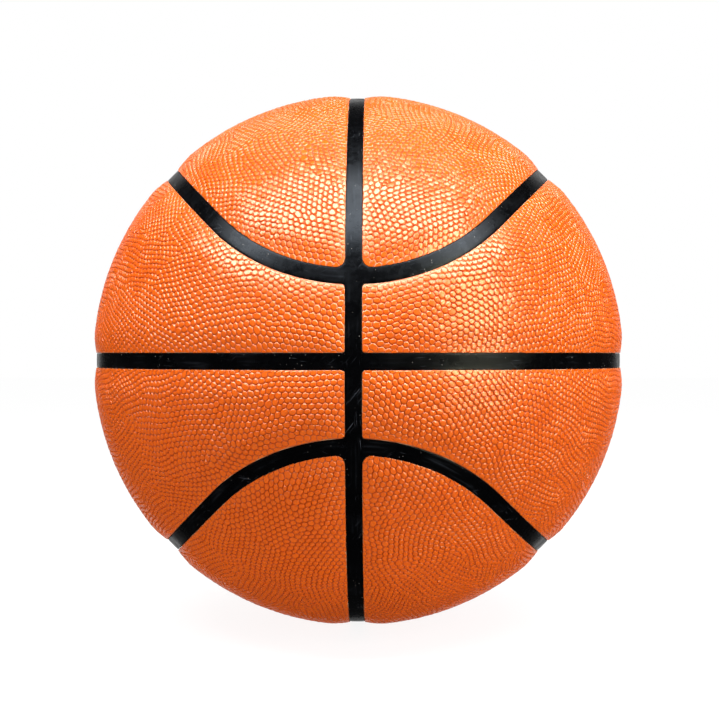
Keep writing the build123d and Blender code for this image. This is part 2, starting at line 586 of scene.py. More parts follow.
@dataclass
class PebbledCover:
    """One cover panel of embossed composite, with real pebbles, worn shoulders and a cut edge."""

    ball: BallLayout
    zone: Zone
    level: Level
    side: Side
    seed: int
    pebble_length: float = 2.5 * MM
    row_pitch: float = 2.14 * MM
    margin_pebbles: int = 6
    patch_spacing: float = 26.0 * MM
    patch_scatter: float = 0.45
    patch_reach: float = 1.6
    patch_turn: float = radians(26.0)
    least_spacing: float = 1.5 * MM
    evening_rounds: int = 2
    jitter: float = 0.2 * MM
    sway_waves: int = 8
    sway_share: float = 0.085
    shortest_sway: float = 10.0 * MM
    longest_sway: float = 60.0 * MM
    relief: float = 0.53 * MM
    relief_spread: Span = (0.86, 1.08)
    rim_steps: tuple[RimStep, ...] = (
        RimStep(0.27 * MM, 0.30, 1.18, 0.48),
        RimStep(0.48 * MM, 0.50, 1.22, 0.86),
        RimStep(0.70 * MM, 0.68, 1.25, 1.0),
    )
    most_inset: float = 0.9
    row_closeness: float = 0.5
    tilt: float = 0.04
    least_room: float = 0.42 * MM
    full_room: float = 0.85 * MM
    shoulder_width: float = 9.5 * MM
    shoulder_drop: float = 1.25 * MM
    shoulder_power: float = 1.5
    worn_width: float = 4.5 * MM
    worn_relief_share: float = 0.4
    edge_bevel: float = 0.22 * MM
    edge_drop: float = 0.25 * MM
    snap: float = 0.4 * MM
    underside_spacing: float = 4.0 * MM
    top_weight: int = 50
    border: PanelBorder | None = field(default=None, init=False)

    def __post_init__(self) -> None:
        """Works out the chart, the outline and the mirror signs."""
        has_valve = (self.zone, self.level, self.side) == (Zone.BAND, Level.UPPER, Side.RIGHT)
        self.chart = PanelChart(self.ball, self.zone)
        self.outline = PanelOutline(self.ball, self.zone, self.seed, has_valve)
        self.signs = mirror_signs(self.level, self.side)

    @property
    def place(self) -> str:
        """Level and side, as the CAD nodes' names end."""
        return f"{self.level.value}_{self.side.value}"

    def pebble_centres(self, rng: np.random.Generator) -> Array:
        """Pebble centres in the chart: patches of staggered rows that run different ways, evened out.

        Args:
            rng: Source of this panel's random numbers.

        Returns:
            Chart points, some of them past the border.
        """
        reach = np.array([self.ball.radius * pi / 2, self.ball.radius * self.ball.loop_angle / 2])
        reach += self.margin_pebbles * self.pebble_length
        counts = np.ceil(2 * reach / self.patch_spacing).astype(int)
        grid = np.stack(np.meshgrid(*(np.arange(count) + 0.5 for count in counts)), axis=-1)
        grid = grid.reshape(-1, 2)
        grid += rng.uniform(-self.patch_scatter, self.patch_scatter, size=grid.shape)
        hearts = grid * 2 * reach / counts - reach
        steps = int(self.patch_reach * self.patch_spacing / self.row_pitch)
        numbers = np.arange(-steps, steps)
        column, row = (axis.ravel() for axis in np.meshgrid(numbers, numbers))
        stagger = 0.5 * (row % 2)
        rows = np.stack([(column + stagger) * self.pebble_length, row * self.row_pitch], axis=1)
        patches = []
        for number, heart in enumerate(hearts):
            turn = rng.normal(0, self.patch_turn)
            points = rows @ np.array([[cos(turn), sin(turn)], [-sin(turn), cos(turn)]]) + heart
            nearest = ((points[:, None] - hearts) ** 2).sum(axis=2).argmin(axis=1)
            patches.append(points[nearest == number])
        centres = self.thin_out(np.concatenate(patches))
        for _ in range(self.evening_rounds):
            centres = self.even_out(centres)
        moved = centres.copy()
        for _ in range(self.sway_waves):
            wavelength = rng.uniform(self.shortest_sway, self.longest_sway)
            heading, phase = rng.uniform(0, 2 * pi, size=2)
            ahead = np.array([cos(heading), sin(heading)])
            aside = np.array([-sin(heading), cos(heading)])
            swing = np.sin(2 * pi * centres @ ahead / wavelength + phase) * wavelength / (2 * pi)
            moved += swing[:, None] * self.sway_share * aside
        return moved + rng.uniform(-self.jitter, self.jitter, size=moved.shape)

    def thin_out(self, centres: Array) -> Array:
        """Drops centres that lie too close to one before them.

        Args:
            centres: Pebble centres in the chart.

        Returns:
            The centres that are left.
        """
        tree = KDTree(len(centres))
        for number, centre in enumerate(centres):
            tree.insert((*centre, 0.0), number)
        tree.balance()
        dropped = np.zeros(len(centres), dtype=bool)
        for number, centre in enumerate(centres):
            if not dropped[number]:
                for _, other, _ in tree.find_range((*centre, 0.0), self.least_spacing):
                    dropped[other] |= other > number
        return centres[~dropped]

    def even_out(self, centres: Array) -> Array:
        """Moves each centre halfway to the middle of its neighbours.

        Args:
            centres: Pebble centres in the chart.

        Returns:
            The moved centres.
        """
        hubs, triangles = join_up(centres)
        sides = triangles[:, [[0, 1], [1, 2], [2, 0]]].reshape(-1, 2)
        total, count = np.zeros_like(hubs), np.zeros(len(hubs))
        for here, there in (sides.T, sides[:, ::-1].T):
            np.add.at(total, here, hubs[there])
            np.add.at(count, here, 1)
        return (hubs + total / count[:, None]) / 2

    def cells(self, centres: Array) -> tuple[Array, Cells]:
        """Cells round the pebble centres, with a corner in each triangle between three centres.

        Args:
            centres: Pebble centres in the chart.

        Returns:
            Corners on the ball's surface, and the corners of each cell in turn.
        """
        hubs, triangles = join_up(centres)
        corners = hubs[triangles].mean(axis=1)
        fans = [[] for _ in hubs]
        for number, triangle in enumerate(triangles):
            for hub in triangle:
                fans[hub].append(number)
        cells = []
        for hub, fan in zip(hubs, fans):
            spokes = corners[fan] - hub
            order = np.argsort(np.arctan2(spokes[:, 1], spokes[:, 0]))
            cells.append([fan[turn] for turn in order])
        return self.chart.to_ball(corners, self.ball.radius), cells

    def cut(self, corners: Array, cells: Cells) -> tuple[Array, Cells]:
        """Cuts the cells along the panel's border.

        Args:
            corners: Corners of the cells on the ball's surface.
            cells: Corner numbers of each cell.

        Returns:
            Corners with the border's own added, and the cells inside the border.
        """
        gap = self.outline.distance(corners)
        near = np.abs(gap) < self.snap
        corners[near] = self.outline.settle(corners[near], 0.0, self.ball.radius)
        gap[near] = 0.0
        crossings: dict[tuple[int, int], int] = {}
        added: list[Array] = []
        kept: Cells = []
        for cell in cells:
            if not any(gap[corner] > 0 for corner in cell):
                continue
            inside = []
            for here, after in sides_of(cell):
                if gap[here] >= 0:
                    inside.append(here)
                if gap[here] * gap[after] < 0:
                    pair = (min(here, after), max(here, after))
                    if pair not in crossings:
                        crossings[pair] = len(corners) + len(added)
                        share = gap[here] / (gap[here] - gap[after])
                        added.append(corners[here] + share * (corners[after] - corners[here]))
                    inside.append(crossings[pair])
            if len(inside) > 2:
                kept.append(inside)
        settled = self.outline.settle(np.array(added), 0.0, self.ball.radius)
        gap = np.concatenate([gap, np.zeros(len(settled))])
        return self.round_border(np.concatenate([corners, settled]), gap, kept)

    def round_border(self, corners: Array, gap: Array, cells: Cells) -> tuple[Array, Cells]:
        """Adds border corners where the border turns within one cell.

        Args:
            corners: Corners on the ball's surface.
            gap: Distance of each corner from the border.
            cells: Corner numbers of each cell.

        Returns:
            All corners, and the cells with the new corners in them.
        """
        tolerance = 0.03 * MM
        shares = (0.25, 0.5, 0.75)
        used = {side for cell in cells for side in sides_of(cell)}
        rim = [pair for pair in used if gap[pair[0]] == gap[pair[1]] == 0 and pair[::-1] not in used]
        ends = np.array(sorted(rim))
        off = np.abs(self.outline.distance(corners[ends].mean(axis=1))) > tolerance
        turns = ends[off]
        if not len(turns):
            return corners, cells
        start, end = corners[turns[:, 0]], corners[turns[:, 1]]
        points = np.concatenate([start + share * (end - start) for share in shares])
        points = self.outline.settle(points, 0.0, self.ball.radius)
        first = len(corners)
        inserted = {
            tuple(pair): [first + number + len(turns) * step for step in range(len(shares))]
            for number, pair in enumerate(turns.tolist())
        }
        refined = []
        for cell in cells:
            corners_in_turn = []
            for here, after in sides_of(cell):
                corners_in_turn += [here, *inserted.get((here, after), [])]
            refined.append(corners_in_turn)
        return np.concatenate([corners, points]), refined

    def room_in(self, ring: Array) -> float:
        """Distance from a cell's middle to its nearest side.

        Args:
            ring: The cell's corners in turn.

        Returns:
            The distance in metres.
        """
        sides = np.roll(ring, -1, axis=0) - ring
        reaches = lengths_of(np.cross(ring - ring.mean(axis=0), sides))
        return (reaches / np.maximum(lengths_of(sides), TINY)).min()

    def join_narrow(self, corners: Array, cells: Cells) -> tuple[Cells, Array]:
        """Joins each cell that is too narrow for a pebble to a roomy neighbour at its longest side.

        Args:
            corners: Corners on the ball's surface.
            cells: Corner numbers of each cell.

        Returns:
            The cells that are left, and the room in each.
        """
        cells = list(cells)
        rooms = np.array([self.room_in(corners[cell]) for cell in cells])
        owners = {side: number for number, cell in enumerate(cells) for side in sides_of(cell)}
        for number, cell in enumerate(cells):
            if rooms[number] >= self.least_room:
                continue
            sides = sides_of(cell)
            sides.sort(key=lambda side: -np.ptp(corners[list(side)], axis=0).max())
            for start, end in sides:
                other = owners.get((end, start))
                if other is None or rooms[other] < self.least_room:
                    continue
                if len(set(cells[other]) & set(cell)) > 2:
                    continue
                turn, place = cell.index(end), cells[other].index(end)
                around = cell[turn:] + cell[:turn]
                rest = cells[other][place:] + cells[other][:place]
                owners.update((side, other) for side in zip(around, around[1:]))
                cells[other] = around + rest[2:]
                cells[number] = []
                break
        left = [number for number, cell in enumerate(cells) if cell]
        return [cells[number] for number in left], rooms[left]

    def ring(self, step: RimStep, middles: Array, valley: Array, room: Array) -> Array:
        """Points of one ring of the pebbles, before they are raised.

        Args:
            step: The ring's place on the pebbles.
            middles: Middle of each cell.
            valley: Corners of each cell, by cell and turn.
            room: Room in each cell.

        Returns:
            The ring's points, by cell and turn, on the ball's surface.
        """
        spokes = valley - middles[:, None]
        reach = np.linalg.norm(spokes, axis=2)
        rows = np.cross(self.chart.axes[2], middles)
        in_row = np.einsum("ijk,ik->ij", spokes, rows / lengths_of(rows)[:, None]) / reach
        inset = np.minimum(step.inset, step.most_of_room * room) * step.corner_factor
        inset = inset[:, None] * (1 - self.row_closeness * in_row**2)
        spots = middles[:, None] + spokes * (1 - np.minimum(inset / reach, self.most_inset))[:, :, None]
        return spots * (self.ball.radius / np.linalg.norm(spots, axis=2))[:, :, None]

    def raise_pebbles(self, skin: PebbleSkin, outlines: Array, room: Array,
                      rng: np.random.Generator) -> None:
        """Raises pebbles with equally many sides: a steep side, a round brow and a flat top.

        Args:
            skin: The panel's skin so far, which the pebbles are added to.
            outlines: Point numbers of the cells' corners, by cell and turn.
            room: Room in each cell.
            rng: Source of this panel's random numbers.
        """
        valley = skin.points[0][outlines]
        middles = valley.mean(axis=1)
        count, sides = outlines.shape
        spread = rng.uniform(*self.relief_spread, count)
        height = self.relief * np.minimum(room / self.full_room, 1) * spread
        lean = rng.normal(0, self.tilt, size=(count, 3))
        tone = rng.uniform(size=count)
        below = outlines
        for step in self.rim_steps:
            ring = self.ring(step, middles, valley, room)
            lift = height[:, None] + np.einsum("ijk,ik->ij", ring - middles[:, None], lean)
            raised = ring * (1 + step.height_share * lift / self.ball.radius)[:, :, None]
            above = skin.add_ring(raised, step.height_share)
            after_below, after_above = np.roll(below, -1, axis=1), np.roll(above, -1, axis=1)
            walls = np.stack([below, after_below, after_above, above], axis=2)
            skin.add_faces(walls.reshape(-1, 4), np.repeat(tone, sides))
            below = above
        skin.add_faces(below, tone)

    def emboss(self, corners: Array, cells: Cells, rng: np.random.Generator) -> bpy.types.Object:
        """Raises a pebble out of each cell.

        Args:
            corners: Corners on the ball's surface.
            cells: Corner numbers of each cell.
            rng: Source of this panel's random numbers.

        Returns:
            The panel's outer skin, with open borders.
        """
        cells, rooms = self.join_narrow(corners, cells)
        sizes = np.array([len(cell) for cell in cells])
        used, numbers = np.unique(np.concatenate(cells), return_inverse=True)
        starts = np.cumsum(sizes) - sizes
        skin = PebbleSkin([corners[used]], [np.zeros(len(used))])
        for size in np.unique(sizes):
            chosen = sizes == size
            outlines = numbers[starts[chosen][:, None] + np.arange(size)]
            self.raise_pebbles(skin, outlines, rooms[chosen], rng)
        faces = skin.faces
        if self.signs.prod() < 0:
            faces = [face[::-1] for face in faces]
        name = f"{self.zone.value}_panel_{self.place}"
        piece = begin(name, np.concatenate(skin.points) * self.signs, [], faces)
        add_values(piece, "relief", "POINT", np.concatenate(skin.relief))
        add_values(piece, "tone", "FACE", np.concatenate(skin.tones))
        return piece

    def shoulder(self, distance: Array) -> Array:
        """How far the panel's crown falls at a distance from the border."""
        inward = np.clip(distance / self.shoulder_width, 0, 1)
        return self.shoulder_drop * (1 - inward) ** self.shoulder_power

    def wear(self, distance: Array) -> Array:
        """Share of the pebbles' relief that is left near the border.

        Args:
            distance: Distance of each point from the border.

        Returns:
            One share for each point.
        """
        inward = np.clip(distance / self.worn_width, 0, 1)
        smooth = inward * inward * (3 - 2 * inward)
        return self.worn_relief_share + (1 - self.worn_relief_share) * smooth

    def crown(self, piece: bpy.types.Object) -> None:
        """Bends the skin down to its shoulders, and straightens its border.

        Args:
            piece: The panel's outer skin.
        """
        local = points_of(piece) * self.signs
        lift = lengths_of(local) - self.ball.radius - self.relief
        distance = self.outline.distance(local)
        radius = self.ball.radius - self.shoulder(distance) + lift * self.wear(distance)
        local *= (radius / lengths_of(local))[:, None]
        rim = np.unique(open_edges_of(piece))
        local[rim] = self.outline.settle(local[rim], self.edge_bevel, radius[rim])
        put_points(piece, local * self.signs)

    def widen_border(self, piece: bpy.types.Object, radius: float | None) -> None:
        """Extrudes the open border to the panel's edge.

        Args:
            piece: The panel's skin.
            radius: Distance from the ball's centre that the new border takes, or None to step down.
        """
        faces = len(piece.data.polygons)
        edit("EDGE")
        bpy.ops.mesh.select_non_manifold(extend=False, use_wire=False, use_multi_face=False,
                                         use_non_contiguous=False, use_verts=False)
        bpy.ops.mesh.extrude_edges_move()
        leave_edit()
        moved = flags_of(piece.data.vertices)
        local = points_of(piece) * self.signs
        depth = lengths_of(local[moved]) - self.edge_drop if radius is None else radius
        local[moved] = self.outline.settle(local[moved], 0.0, depth)
        put_points(piece, local * self.signs)
        materials = np.zeros(len(piece.data.polygons), dtype=np.int32)
        piece.data.polygons.foreach_get("material_index", materials)
        materials[faces:] = 1
        piece.data.polygons.foreach_set("material_index", materials)

    def underside(self) -> tuple[Array, Cells]:
        """Chart points inside the finished border, the border's own first, and their triangles."""
        return triangulate_inside(self.chart, self.outline, self.border, self.underside_spacing)

    def close_underside(self, piece: bpy.types.Object) -> None:
        """Fills the underside, and keeps the border for the pad.

        Args:
            piece: The panel's skin and edge.
        """
        open_edges = open_edges_of(piece)
        rim, numbers = np.unique(open_edges, return_inverse=True)
        local = points_of(piece)[rim] * self.signs
        self.border = PanelBorder(local, numbers.reshape(-1, 2))
        flat, triangles = self.underside()
        inner = self.chart.to_ball(flat[len(rim):], self.ball.cover_inner) * self.signs
        mesh = bmesh.new()
        mesh.from_mesh(piece.data)
        mesh.verts.ensure_lookup_table()
        corners = [mesh.verts[number] for number in rim] + [mesh.verts.new(point) for point in inner]
        for triangle in triangles:
            mesh.faces.new([corners[corner] for corner in triangle]).material_index = 1
        mesh.to_mesh(piece.data)
        mesh.free()

    def build(self) -> bpy.types.Object:
        """Makes the panel.

        Returns:
            The closed panel, in its place.
        """
        rng = np.random.default_rng(self.seed)
        corners, cells = self.cut(*self.cells(self.pebble_centres(rng)))
        piece = self.emboss(corners, cells, rng)
        self.crown(piece)
        self.widen_border(piece, None)
        self.widen_border(piece, self.ball.cover_inner)
        self.close_underside(piece)
        face_outwards()
        bpy.ops.object.shade_smooth_by_angle(angle=SMOOTH_ANGLE)
        flat_tops = piece.modifiers.new("flat_tops", "WEIGHTED_NORMAL")
        flat_tops.weight = self.top_weight
        flat_tops.keep_sharp = True
        bpy.ops.object.modifier_apply(modifier=flat_tops.name)
        return piece

    def dress(self, piece: bpy.types.Object, finishes: "Finishes") -> None:
        """Gives the panel its cover and cut edge materials, and ties it to its CAD node."""
        node = f"{self.zone.value}_cover_{self.place}"
        hand_over(piece, [node], [finishes.cover, finishes.cut_edge])


@dataclass
class SpongePad:
    """Sponge backing under one cover panel."""

    cover: PebbledCover
    smooth_angle: float = radians(40.0)

    def build(self) -> bpy.types.Object:
        """Makes the pad.

        Returns:
            The closed pad, in its place.
        """
        cover, ball = self.cover, self.cover.ball
        flat, triangles = cover.underside()
        count = len(flat)
        shells = [cover.chart.to_ball(flat, radius) for radius in (ball.pad_outer, ball.pad_inner)]
        walls = [[a, b, b + count, a + count] for a, b in cover.border.edges.tolist()]
        under = [[corner + count for corner in triangle] for triangle in triangles]
        name = f"{cover.zone.value}_sponge_{cover.place}"
        piece = begin(name, np.concatenate(shells) * cover.signs, [], triangles + under + walls)
        face_outwards()
        bpy.ops.object.shade_smooth_by_angle(angle=self.smooth_angle)
        return piece

    def dress(self, piece: bpy.types.Object, finishes: "Finishes") -> None:
        """Args:
            piece: The finished pad.
            finishes: Materials of the ball.
        """
        node = f"{self.cover.zone.value}_pad_{self.cover.place}"
        hand_over(piece, [node], [finishes.sponge])


@dataclass(frozen=True)
class StripPath:
    """Middle line of a channel strip, with the width of the strip to each hand along it."""

    directions: Array
    left: Array
    right: Array
    left_round: Array
    right_round: Array
    closed: bool


@dataclass
class ChannelStrip:
    """Black rubber strip in a channel, swept along its middle line with a rounded section."""

    ball: BallLayout
    name: str
    node: str
    signs: Array
    edge_gap: float = 0.06 * MM
    thickness: float = 1.95 * MM
    spacing: float = 1.4 * MM
    edge_shares: tuple[float, ...] = (1.0, 0.985, 0.94, 0.86, 0.74, 0.45, 0.15)
    edge_drops: tuple[float, ...] = (0.25 * MM, 0.13 * MM, 0.055 * MM, 0.02 * MM, 0.0, 0.0, 0.0)

    @property
    def half_width(self) -> float:
        """Half of the strip's width, clear of the panels beside it."""
        return self.ball.half_channel - self.edge_gap

    def path(self) -> StripPath:
        """Middle line of the strip in the upper right."""
        raise NotImplementedError

    def flare(self, run: Array, corner: float) -> Array:
        """How much wider the strip grows beside a rounded panel corner.

        Args:
            run: Distance of each station from the upright channel's edge.
            corner: Radius of the panel's corner.

        Returns:
            Extra width at each station.
        """
        short = np.clip(corner - run, 0, corner)
        return corner - np.sqrt(corner**2 - short**2)

    def build(self) -> bpy.types.Object:
        """Makes the strip.

        Returns:
            The closed strip, in its place.
        """
        path = self.path()
        ahead = np.roll(path.directions, -1, axis=0) - np.roll(path.directions, 1, axis=0)
        if not path.closed:
            ahead[0] = path.directions[1] - path.directions[0]
            ahead[-1] = path.directions[-1] - path.directions[-2]
        across = np.cross(path.directions, ahead)
        across /= lengths_of(across)[:, None]
        top = self.ball.strip_outer
        hands = ((path.left, path.left_round, 1), (path.right, path.right_round, -1))
        columns, offsets = [], []
        for width, roundness, hand in hands:
            ring = [(1.0, np.full(len(width), self.thickness))]
            ring += [(share, drop * roundness) for share, drop in zip(self.edge_shares, self.edge_drops)]
            for share, drop in ring if hand > 0 else reversed(ring):
                angle = hand * share * width / top
                spot = np.cos(angle)[:, None] * path.directions + np.sin(angle)[:, None] * across
                columns.append(spot * (top - drop)[:, None])
                offsets.append(hand * share * width)
        points = np.stack(columns, axis=1)
        return self.loft(points, np.stack(offsets, axis=1), path.closed)

    def loft(self, points: Array, offsets: Array, closed: bool) -> bpy.types.Object:
        """Joins the strip's sections with faces and lays its texture map along it.

        Args:
            points: Section points, by station and place in the section.
            offsets: Distance of each section point from the middle line.
            closed: Whether the last section joins the first.

        Returns:
            The closed strip.
        """
        stations, ring = offsets.shape
        number = np.arange(stations * ring).reshape(stations, ring)
        middles = points[:, ring // 2]
        steps = lengths_of(np.diff(middles, axis=0, append=middles[:1]))
        start = np.concatenate([[0.0], np.cumsum(steps)])
        faces, map_points = [], []
        for here in range(stations if closed else stations - 1):
            after = (here + 1) % stations
            for left in range(ring):
                right = (left + 1) % ring
                corners = ((here, left), (here, right), (after, right), (after, left))
                faces.append([number[corner] for corner in corners])
                for place, side in ((here, left), (here, right), (here + 1, right), (here + 1, left)):
                    map_points.append((start[place], offsets[place % stations, side]))
        if not closed:
            for end in (0, stations - 1):
                faces.append(number[end].tolist())
                map_points += [(start[end], offset) for offset in offsets[end]]
        piece = begin(self.name, points.reshape(-1, 3) * self.signs, [], faces)
        layer = piece.data.uv_layers.new(name="along_strip")
        layer.data.foreach_set("uv", np.array(map_points, dtype=np.float32).ravel())
        face_outwards()
        bpy.ops.object.shade_smooth_by_angle(angle=SMOOTH_ANGLE)
        return piece

    def dress(self, piece: bpy.types.Object, finishes: "Finishes") -> None:
        """Gives the strip its rubber and ties it to its CAD node."""
        hand_over(piece, [self.node], [finishes.channel])


@dataclass
class UprightStrip(ChannelStrip):
    """Ring in the upright channel, flush with the strips that butt against it."""

    blend: float = 1.2 * MM

    def path(self) -> StripPath:
        """Middle line of the ring, from the bottom round the front to the bottom.

        Returns:
            The middle line, with even widths.
        """
        ball = self.ball
        count = int(2 * pi * ball.strip_outer / self.spacing)
        angle = np.arange(count) * 2 * pi / count - pi / 2
        directions = np.stack([np.zeros(count), -np.cos(angle), np.sin(angle)], axis=1)
        height = np.abs(ball.strip_outer * directions[:, 2])
        loop_low = ball.loop_height - ball.half_channel - ball.band_corner
        loop_high = ball.loop_height + ball.half_channel + ball.polar_corner
        outside_loop = np.maximum(loop_low - height, height - loop_high)
        outside_equator = height - ball.half_channel - ball.band_corner
        roundness = np.clip(np.minimum(outside_loop, outside_equator) / self.blend, 0, 1)
        width = np.full(count, self.half_width)
        return StripPath(directions, width, width, roundness, roundness, True)


@dataclass
class EquatorStrip(ChannelStrip):
    """Half ring in the equator's channel, from the front of the ball to its back."""

    def path(self) -> StripPath:
        """Middle line of the half ring, with close stations at its ends.

        Returns:
            The middle line, with widths that flare at both ends.
        """
        ball = self.ball
        first = asin(ball.half_channel / ball.strip_outer)
        length = pi * ball.strip_outer - 2 * first * ball.strip_outer
        run = end_runs(length, ball.band_corner, self.spacing)
        angle = first + run / ball.strip_outer
        directions = np.stack([np.sin(angle), -np.cos(angle), np.zeros(len(run))], axis=1)
        width = self.half_width + self.flare(np.minimum(run, run[-1] - run), ball.band_corner)
        even = np.ones(len(run))
        return StripPath(directions, width, width, even, even, False)


@dataclass
class LoopStrip(ChannelStrip):
    """Half of a loop, from the front of the upright channel round the side to its back."""

    def path(self) -> StripPath:
        """Middle line of the half loop: a turn, the sloping half circle, and the turn behind.

        Returns:
            The middle line, with widths that flare at both ends.
        """
        ball, top = self.ball, self.ball.strip_outer
        first = asin(ball.half_channel / ball.loop_turn)
        length = 2 * (ball.loop_angle - first) * ball.loop_turn
        turn_run = end_runs(length, ball.polar_corner, self.spacing)
        turn = first + turn_run[turn_run < turn_run[-1] / 2] / ball.loop_turn
        x, z = ball.loop_turn * np.sin(turn), ball.loop_center - ball.loop_turn * np.cos(turn)
        front = np.stack([x, -np.sqrt(top**2 - x**2 - z**2), z], axis=1)
        reach = asin(sqrt(top**2 - ball.loop_turn**2) / top)
        count = int(2 * reach * top / self.spacing)
        sweep = np.linspace(-reach, reach, count)
        run, rise = cos(ball.loop_angle), sin(ball.loop_angle)
        side = top * np.stack([np.cos(sweep) * run, np.sin(sweep), np.cos(sweep) * rise], axis=1)
        back = front[::-1] * np.array([1, -1, 1])
        points = np.concatenate([front, side, back])
        height = points[:, 2] - ball.loop_center
        spread = np.hypot(points[:, 0], height)
        on_turn = points[:, 0] * run + points[:, 2] * rise < ball.loop_center * rise
        lean = np.where(on_turn, (points[:, 0] ** 2 + height * points[:, 2]) / (spread * top), 0.0)
        width = self.half_width / np.sqrt(1 - lean**2)
        from_upright = points[:, 0] - ball.half_channel
        upper = width + self.flare(np.maximum(from_upright, 0), ball.polar_corner)
        lower = width + self.flare(np.maximum(from_upright, 0), ball.band_corner)
        even = np.ones(len(points))
        return StripPath(points / top, upper, lower, even, even, False)


def end_runs(length: float, corner: float, spacing: float) -> Array:
    """Stations along a strip that are close together where its ends flare.

    Args:
        length: Length of the strip.
        corner: Length of the flared stretch at each end.
        spacing: Distance between stations elsewhere.

    Returns:
        Distances from the strip's first end.
    """
    close_stations = 10
    near = corner * np.linspace(0, 1, close_stations) ** 2
    middle = np.linspace(corner, length - corner, int((length - 2 * corner) / spacing))
    return np.concatenate([near[:-1], middle, length - near[-2::-1]])


@dataclass
class Valve:
    """Inflation valve behind the ball: a rubber housing and the self-sealing plug in it."""

    ball: BallLayout
    recess: float = 0.5 * MM
    bladder_inner: float = 113.25 * MM
    stem_length: float = 11.0 * MM
    stem_chamfer: float = 1.5 * MM
    flange_radius: float = 14.0 * MM
    flange_thickness: float = 1.5 * MM
    head_radius: float = 3.5 * MM
    head_height: float = 2.4 * MM
    barrel_radius: float = 2.3 * MM
    tail_radius: float = 3.3 * MM
    tail_height: float = 3.0 * MM
    tail_chamfer: float = 1.0 * MM
    needle_radius: float = 1.03 * MM
    needle_depth: float = 9.0 * MM
    mouth_radius: float = 2.0 * MM
    mouth_depth: float = 1.1 * MM
    fit: float = 0.05 * MM
    steps: int = 72
    flange_steps: int = 6
    weld: float = 0.01 * MM
    sharp_angle: float = radians(40.0)
    edge_round: float = 0.22 * MM
    round_segments: int = 3

    @property
    def face(self) -> float:
        """Distance of the valve's face from the ball's centre."""
        return self.ball.radius - self.recess

    @property
    def stem_bottom(self) -> float:
        """Distance of the stem's inner end from the ball's centre."""
        return self.bladder_inner - self.stem_length

    def turned(self, name: str, profile: list[tuple[float, float]], closed: bool) -> bpy.types.Object:
        """Spins a profile about the valve's axis.

        Args:
            name: Name of the piece.
            profile: Distances from the axis and from the ball's centre.
            closed: Whether the profile is a loop clear of the axis.

        Returns:
            The turned piece, in its place.
        """
        points = np.array([(radius, 0.0, height) for radius, height in profile])
        edges = [(start, start + 1) for start in range(len(points) - 1)]
        if closed:
            edges.append((len(points) - 1, 0))
        piece = begin(name, points, edges, [])
        edit("VERT")
        bpy.ops.mesh.select_all(action="SELECT")
        bpy.ops.mesh.spin(steps=self.steps, angle=2 * pi, center=(0, 0, 0), axis=(0, 0, 1))
        bpy.ops.mesh.select_all(action="SELECT")
        bpy.ops.mesh.remove_doubles(threshold=self.weld)
        bpy.ops.mesh.normals_make_consistent(inside=False)
        bpy.ops.mesh.select_all(action="DESELECT")
        bpy.ops.mesh.select_mode(type="EDGE")
        bpy.ops.mesh.edges_select_sharp(sharpness=self.sharp_angle)
        bpy.ops.mesh.bevel(offset=self.edge_round, segments=self.round_segments)
        leave_edit()
        turn = Vector((0, 0, 1)).rotation_difference(Vector(self.ball.valve_axis))
        piece.data.transform(turn.to_matrix().to_4x4())
        bpy.ops.object.shade_smooth_by_angle(angle=SMOOTH_ANGLE)
        return piece

    def flange(self, radius: float, outer: float) -> float:
        """Height of the flange's face over the ball's centre, at a distance from the axis."""
        return sqrt(outer**2 - radius**2)

    def build_housing(self) -> bpy.types.Object:
        """Makes the housing: a stem through all layers and a flange against the bladder.

        Returns:
            The housing, in its place.
        """
        bore, seat = self.barrel_radius + self.fit, self.head_radius + self.fit
        seat_height = self.face - self.head_height - self.fit
        outer = self.bladder_inner - self.ball.glue_line
        inner = outer - self.flange_thickness
        stem = self.ball.stem_radius
        widths = np.linspace(stem, self.flange_radius, self.flange_steps)
        profile = [(bore, self.stem_bottom), (stem - self.stem_chamfer, self.stem_bottom)]
        profile += [(stem, self.stem_bottom + self.stem_chamfer)]
        profile += [(width, self.flange(width, inner)) for width in widths]
        profile += [(width, self.flange(width, outer)) for width in widths[::-1]]
        profile += [(stem, self.face), (seat, self.face), (seat, seat_height), (bore, seat_height)]
        return self.turned("valve_body", profile, True)

    def build_plug(self) -> bpy.types.Object:
        """Makes the plug: a head with the needle's mouth, a barrel and a tail.

        Returns:
            The plug, in its place.
        """
        neck = self.face - self.mouth_depth
        bottom = neck - self.needle_depth
        barrel_top = self.face - self.head_height
        tail_top = self.stem_bottom - self.fit
        tail_bottom = tail_top - self.tail_height
        profile = [
            (0.0, bottom), (self.needle_radius, bottom), (self.needle_radius, neck),
            (self.mouth_radius, self.face), (self.head_radius, self.face), (self.head_radius, barrel_top),
            (self.barrel_radius, barrel_top), (self.barrel_radius, tail_top), (self.tail_radius, tail_top),
            (self.tail_radius, tail_bottom + self.tail_chamfer),
            (self.tail_radius - self.tail_chamfer, tail_bottom), (0.0, tail_bottom),
        ]
        return self.turned("valve_core", profile, False)

    def dress(self, housing: bpy.types.Object, plug: bpy.types.Object, finishes: "Finishes") -> None:
        """Gives both pieces their rubber and ties them to their CAD nodes."""
        hand_over(housing, ["valve_housing"], [finishes.valve])
        hand_over(plug, ["valve_plug"], [finishes.valve])


def display(red: int, green: int, blue: int) -> Colour:
    """Turns a colour in display values into a linear one, by the sRGB curve.

    Args:
        red: Red from 0 to 255.
        green: Green from 0 to 255.
        blue: Blue from 0 to 255.

    Returns:
        The linear colour, fully opaque.
    """
    shares = (value / 255 for value in (red, green, blue))
    linear = [s / 12.92 if s <= 0.04045 else ((s + 0.055) / 1.055) ** 2.4 for s in shares]
    return (*linear, 1.0)


